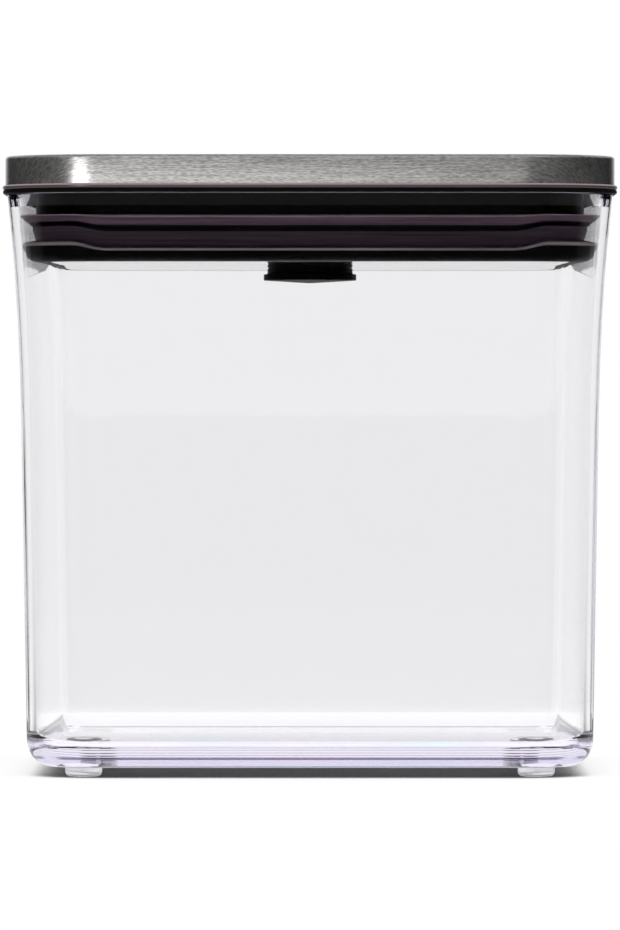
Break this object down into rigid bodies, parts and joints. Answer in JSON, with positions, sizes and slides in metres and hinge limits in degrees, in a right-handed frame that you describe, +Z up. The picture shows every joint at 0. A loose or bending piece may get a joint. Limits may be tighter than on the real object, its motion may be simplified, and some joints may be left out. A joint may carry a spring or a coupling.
{
  "type": "food storage container",
  "caption": "Clear, flared square tub on soft feet with a brushed steel lid: a flush push button latches down, spreads a finned black gasket and rises as a handle.",
  "frame": {"origin": "middle of the footprint, on the surface that the feet stand on", "axes": "+Z up through the button; the four sides are alike, and -Y is the front in the picture"},
  "size_m": [0.16, 0.16, 0.161],
  "materials": {
    "clear_plastic": "clear, glossy, with a faint violet tint",
    "clear_soft": "clear, satin",
    "brushed_steel": "fine brushed grain",
    "black_plastic": "satin",
    "black_gloss": "polished",
    "grey_plastic": "satin",
    "black_silicone": "soft satin",
    "spring_steel": "drawn wire",
    "screw_steel": "zinc plated"
  },
  "bodies": {
    "tub": {"tub": "clear_plastic", "foot_front_left": "clear_soft", "foot_front_right": "clear_soft", "foot_rear_left": "clear_soft", "foot_rear_right": "clear_soft"},
    "lid": {"steel_cover": "brushed_steel", "top_frame": "black_plastic", "neck_frame": "black_plastic", "gasket": "black_silicone", "guide_base": "black_plastic", "return_spring": "spring_steel", "latch_wire": "spring_steel", "frame_screws": "screw_steel", "guide_screws": "screw_steel"},
    "button": {"button_cap": "brushed_steel", "button_plunger": "black_plastic", "heart_cam": "grey_plastic", "seal_plate": "black_gloss", "dock_plug": "black_plastic", "dock_o_ring": "black_silicone", "clamp_screw": "screw_steel"}
  },
  "joints": [
    {"name": "lid_lift", "type": "slide", "parent": "tub", "child": "lid", "axis": [0, 0, 1], "range_m": [0, 0.1]},
    {"name": "button_press", "type": "slide", "parent": "lid", "child": "button", "axis": [0, 0, 1], "range_m": [-0.0012, 0.009], "deforming": ["return_spring", "latch_wire"]}
  ]
}
